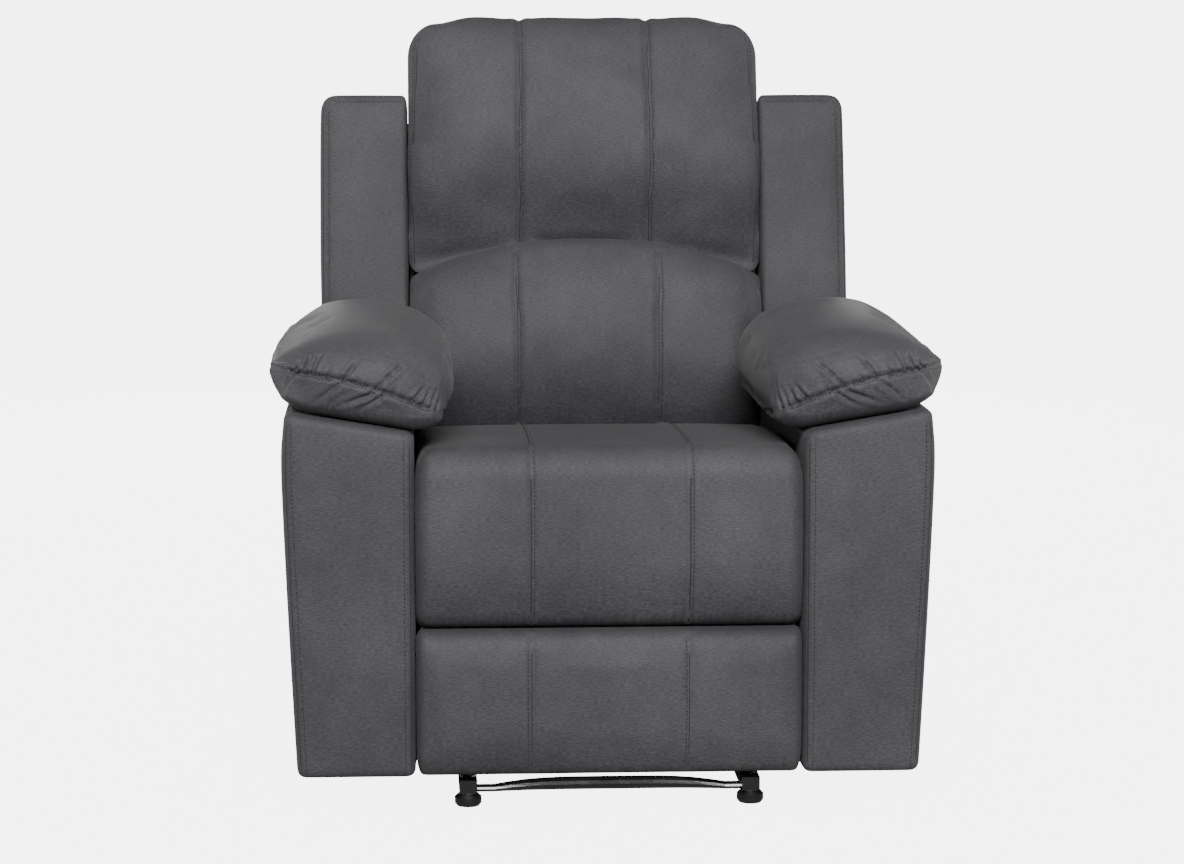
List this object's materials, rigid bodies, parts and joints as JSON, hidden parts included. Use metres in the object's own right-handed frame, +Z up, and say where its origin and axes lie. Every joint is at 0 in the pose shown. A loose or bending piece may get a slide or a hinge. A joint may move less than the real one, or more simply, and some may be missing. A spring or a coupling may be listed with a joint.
{
  "type": "recliner armchair",
  "caption": "Padded recliner armchair with pillow-top arms, side wings, fold-out footrest, reclining back and a recessed release paddle.",
  "frame": {"origin": "on the floor under the middle of the chair's bounding box", "axes": "+Z up, -Y is the chair's front, +X is the seated person's left"},
  "size_m": [0.8988, 0.9144, 1.0449],
  "materials": {
    "upholstery": "charcoal brushed faux suede with a fine horizontal grain, matte with a soft sheen",
    "black_steel": "glossy black powder coat",
    "zinc_steel": "zinc plated, satin",
    "black_plastic": "moulded, fine texture",
    "timber": "sawn softwood and plywood, unfinished",
    "webbing": "woven elastic webbing",
    "cable_jacket": "black vinyl jacket"
  },
  "bodies": {
    "base": {"foot_caps": "black_plastic", "foot_bolts": "zinc_steel", "left_base_rail": "black_steel", "right_base_rail": "black_steel", "front_cross_tube": "black_steel", "rear_cross_tube": "black_steel", "track_posts": "black_steel", "slide_tracks": "zinc_steel", "arm_brackets": "black_steel", "arm_bolts": "zinc_steel", "left_arm_frame": "timber", "right_arm_frame": "timber", "left_arm_cover": "upholstery", "right_arm_cover": "upholstery", "left_arm_pad": "upholstery", "right_arm_pad": "upholstery", "rear_apron": "upholstery", "release_bezel": "black_plastic", "release_cable": "cable_jacket", "latch_bracket": "black_steel", "latch_pin": "zinc_steel", "paddle_pin": "zinc_steel"},
    "seat": {"seat_runners": "zinc_steel", "seat_side_rails": "timber", "seat_front_rail": "timber", "seat_rear_rail": "timber", "seat_springs": "zinc_steel", "spring_clips": "zinc_steel", "seat_cushion": "upholstery", "side_plates": "zinc_steel", "seat_pivot_rivets": "zinc_steel", "side_plate_bolts": "zinc_steel", "back_hinge_pins": "zinc_steel"},
    "back": {"back_frame": "timber", "back_webbing": "webbing", "back_hinge_plates": "zinc_steel", "wing_frames": "timber", "left_wing": "upholstery", "right_wing": "upholstery", "head_pillow": "upholstery", "lumbar_cushion": "upholstery", "outside_back": "upholstery", "back_side_panels": "upholstery"},
    "front_pad": {"front_pad_board": "timber", "front_pad_cushion": "upholstery", "crease_hinge_upper": "zinc_steel"},
    "footrest": {"footrest_board": "timber", "footrest_cushion": "upholstery", "crease_hinge_lower": "zinc_steel", "footrest_brackets": "zinc_steel", "footrest_rivets": "zinc_steel"},
    "drive_arms": {"drive_links": "zinc_steel", "drive_link_rivets": "zinc_steel", "catch_pin": "zinc_steel"},
    "guide_arms": {"guide_links": "zinc_steel"},
    "carriers": {"carrier_links": "zinc_steel", "carrier_rivets": "zinc_steel"},
    "controls": {"control_links": "zinc_steel"},
    "release_paddle": {"release_paddle": "black_plastic"},
    "latch": {"latch_pawl": "zinc_steel"}
  },
  "joints": [
    {"name": "recline_slide", "type": "slide", "parent": "base", "child": "seat", "axis": [0, -1, 0], "range_m": [0, 0.07]},
    {"name": "back_recline", "type": "hinge", "parent": "seat", "child": "back", "pos_m": [0, 0.1975, 0.345], "axis": [-1, 0, 0], "range_deg": [0, 35]},
    {"name": "footrest_fold", "type": "hinge", "parent": "seat", "child": "front_pad", "pos_m": [0, -0.4105, 0.438], "axis": [-1, 0, 0], "range_deg": [0, 82]},
    {"name": "footrest_tilt", "type": "hinge", "parent": "front_pad", "child": "footrest", "pos_m": [0, -0.3805, 0.238], "axis": [-1, 0, 0], "range_deg": [0, 8.1]},
    {"name": "drive_link_swing", "type": "hinge", "parent": "seat", "child": "drive_arms", "pos_m": [0, -0.2105, 0.362], "axis": [-1, 0, 0], "range_deg": [0, 85]},
    {"name": "guide_link_swing", "type": "hinge", "parent": "seat", "child": "guide_arms", "pos_m": [0, -0.1625, 0.335], "axis": [-1, 0, 0], "range_deg": [0, 85]},
    {"name": "carrier_link_pivot", "type": "hinge", "parent": "drive_arms", "child": "carriers", "pos_m": [0, -0.1526, 0.0995], "axis": [-1, 0, 0], "range_deg": [-85, 0]},
    {"name": "control_link_pivot", "type": "hinge", "parent": "drive_arms", "child": "controls", "pos_m": [0, -0.1349, 0.0655], "axis": [-1, 0, 0], "range_deg": [-85, 0]},
    {"name": "release_pull", "type": "hinge", "parent": "base", "child": "release_paddle", "pos_m": [-0.428, -0.157, 0.42], "axis": [0, 0, 1], "range_deg": [0, 30], "stiffness_Nm_per_rad": 0.4},
    {"name": "latch_lift", "type": "hinge", "parent": "base", "child": "latch", "pos_m": [-0.203, -0.12008, 0.18313], "axis": [-1, 0, 0], "range_deg": [0, 12.1]}
  ],
  "couplings": [
    {"joint": "back_recline", "follows": "recline_slide", "rad_per_m": 8.7264},
    {"joint": "footrest_tilt", "follows": "footrest_fold", "ratio": 0.09756},
    {"joint": "drive_link_swing", "follows": "footrest_fold", "ratio": 1.0321},
    {"joint": "guide_link_swing", "follows": "footrest_fold", "ratio": 1.0321},
    {"joint": "carrier_link_pivot", "follows": "footrest_fold", "ratio": -1.0321},
    {"joint": "control_link_pivot", "follows": "footrest_fold", "ratio": -1.0321},
    {"joint": "latch_lift", "follows": "release_pull", "ratio": 0.4}
  ]
}
